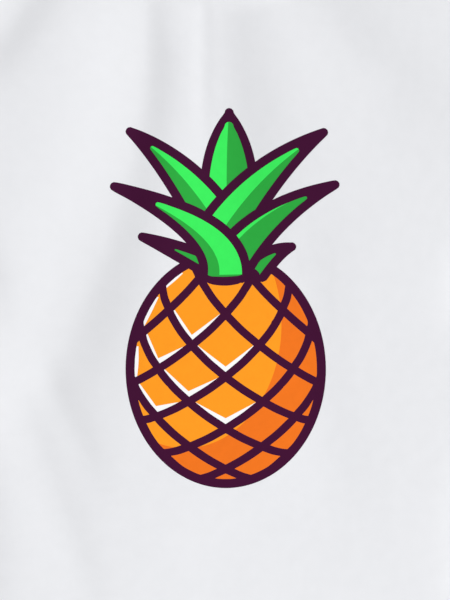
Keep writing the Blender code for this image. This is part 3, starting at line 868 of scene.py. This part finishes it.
# ---------------------------------------------------------------- stitching
def stitch_row(name, path, height_of, material, replaced, offset=0.0, rings=6, sides=6):
    """Separate stitches along a path in plan, each dipping into the cloth at both its ends.

    The row starts at an offset along the path, as a share of a stitch and its gap.
    """
    pitch = STITCH_LENGTH + STITCH_GAP
    starts = np.arange(offset * pitch, lengths_along(path)[-1] - STITCH_LENGTH, pitch)
    shares = np.linspace(0, 1, rings)
    plan = at_lengths(path, starts[:, None] + shares * STITCH_LENGTH)
    cloth = height_of(plan.reshape(-1, 2)).reshape(plan.shape[:2])
    bow = np.sin(np.pi * shares)
    centre = cloth + THREAD * (1.5 * bow - 0.6)
    radius = THREAD * (0.45 + 0.55 * np.sqrt(np.clip(bow, 0, 1)))
    heading = plan[:, -1] - plan[:, 0]
    heading /= np.hypot(heading[:, 0], heading[:, 1])[:, None]
    across = np.stack([-heading[:, 1], heading[:, 0]], -1)
    vertices, faces = [], []
    for s in range(len(starts)):
        base = len(vertices)
        for r in range(rings):
            for k in range(sides):
                angle = 2 * math.pi * k / sides
                x, y = plan[s, r] + across[s] * radius[r] * math.cos(angle)
                vertices.append((x, y, centre[s, r] + radius[r] * math.sin(angle)))
        faces += [tuple(base + i for i in f) for f in ring_faces(rings, sides)]
        faces.append(tuple(base + k for k in range(sides))[::-1])
        faces.append(tuple(base + (rings - 1) * sides + k for k in range(sides)))
    row = new_object(name, vertices, faces, material)
    flip_if_inside_out(row.data)
    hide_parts(replaced)


def flip_if_inside_out(mesh):
    """Turns a closed mesh's faces outwards."""
    if sum(face.center.dot(face.normal) * face.area for face in mesh.polygons) < 0:
        mesh.flip_normals()


def hem_rows(thread, inset=2.5 * MM):
    """Twin-needle rows along the hem, from side to side."""
    for number in (1, 2):
        node = "hem_stitch_%d" % number
        low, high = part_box(node)
        y = (low.y + high.y) / 2
        row = resample([(-SIDE_X + inset, y), (SIDE_X - inset, y)], 400)
        stitch_row("hem_stitches_%d" % number, row, front_surface, thread, node,
                   offset=0.4 * number)


def cuff_rows(side, name, thread, inset=4):
    """Twin-needle rows round a cuff's front, at the same depths as the frame's threads."""
    for number in (1, 2):
        node = "%s_cuff_stitch_%d" % (name, number)
        ends = np.array([v.co.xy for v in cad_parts[node].data.vertices])
        top = ends[ends[:, 1] > ends[:, 1].mean()].mean(0) * (side, 1)
        down = math.dist(CUFF_TOP, top) / math.dist(CUFF_TOP, SHOULDER_POINT)
        line = sleeve_ring(side, 1 - down, 200)[0][inset:-inset]
        rising = line[np.argsort(line[:, 1])]
        stitch_row("cuff_stitches_%s_%d" % (name, number), line[:, :2],
                   lambda points, r=rising: np.interp(points[:, 1], r[:, 1], r[:, 2]),
                   thread, node, offset=0.4 * number)


def neck_row(thread, inset=6):
    """One row round the front of the neck, just outside the band's seam."""
    centre = np.array([0, NECK_POINT[1]])
    away = resample(FRONT_NECK, 200) - centre
    away *= (1 + NECK_ROW / np.hypot(*away.T))[:, None]
    stitch_row("neck_stitches", (away + centre)[inset:-inset], front_surface, thread,
               "neck_stitch")


# ---------------------------------------------------------------- the scene around it
def make_floor():
    bpy.ops.mesh.primitive_plane_add(size=60, location=(0, 0, FLOOR_Z))
    floor = bpy.context.object
    floor.name = "floor"
    floor.data.materials.append(shader("floor", (0.62, 0.62, 0.63), 0.8))


def aim(light, place, target):
    light.location = place
    light.rotation_euler = (Vector(target) - Vector(place)).to_track_quat("-Z", "Y").to_euler()
    bpy.context.scene.collection.objects.link(light)


def make_lights():
    """A large soft window far off to the upper left, a weak fill and a pale room."""
    middle = (PRINT_MIDDLE[0], PRINT_MIDDLE[1], 0)
    window = bpy.data.lights.new("window", "SUN")
    window.energy = 2.95
    window.angle = math.radians(16)
    aim(bpy.data.objects.new("window", window), (-2.2, 0.9, 1.9), middle)
    fill = bpy.data.lights.new("fill", "AREA")
    fill.energy = 10
    fill.size = 1.4
    aim(bpy.data.objects.new("fill", fill), (0.8, -1.5, 1.6), (0.1, -0.3, 0))
    world = bpy.data.worlds.new("studio")
    world.use_nodes = True
    world.node_tree.nodes["Background"].inputs[0].default_value = (0.97, 0.98, 1.0, 1)
    world.node_tree.nodes["Background"].inputs[1].default_value = 0.36
    bpy.context.scene.world = world


def make_camera():
    """Straight above the print, at a height from which the view takes in VIEW_HEIGHT of cloth."""
    data = bpy.data.cameras.new("camera")
    data.lens = LENS
    data.sensor_width = SENSOR
    data.clip_start = 0.01
    camera = bpy.data.objects.new("camera", data)
    distance = VIEW_HEIGHT * LENS / SENSOR
    camera.location = (PRINT_MIDDLE[0], PRINT_MIDDLE[1] - VIEW_DROP, TOP_Z + distance)
    bpy.context.scene.collection.objects.link(camera)
    bpy.context.scene.camera = camera
    bpy.context.scene.view_settings.view_transform = "Standard"


def finish_cad_nodes(ending, material):
    """Inner seams and tapes keep their CAD shape and get their real finish."""
    for name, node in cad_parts.items():
        if name.endswith(ending):
            node.data.materials.clear()
            node.data.materials.append(material)


jersey = jersey_material()
thread = thread_material()
make_camera()
make_floor()
make_lights()
make_print(*make_front(jersey))
make_back(jersey)
for side, name in ((1, "left"), (-1, "right")):
    nodes = ["%s_sleeve_%s" % (name, part) for part in ("front", "back", "fold")]
    make_sleeve(side, "sleeve_" + name, nodes, jersey)
    cuff_rows(side, name, thread)
make_neck_band(rib_material())
make_label(label_material())
hem_rows(thread)
neck_row(thread)
finish_cad_nodes("_seam", thread)
finish_cad_nodes("_tape", tape_material())
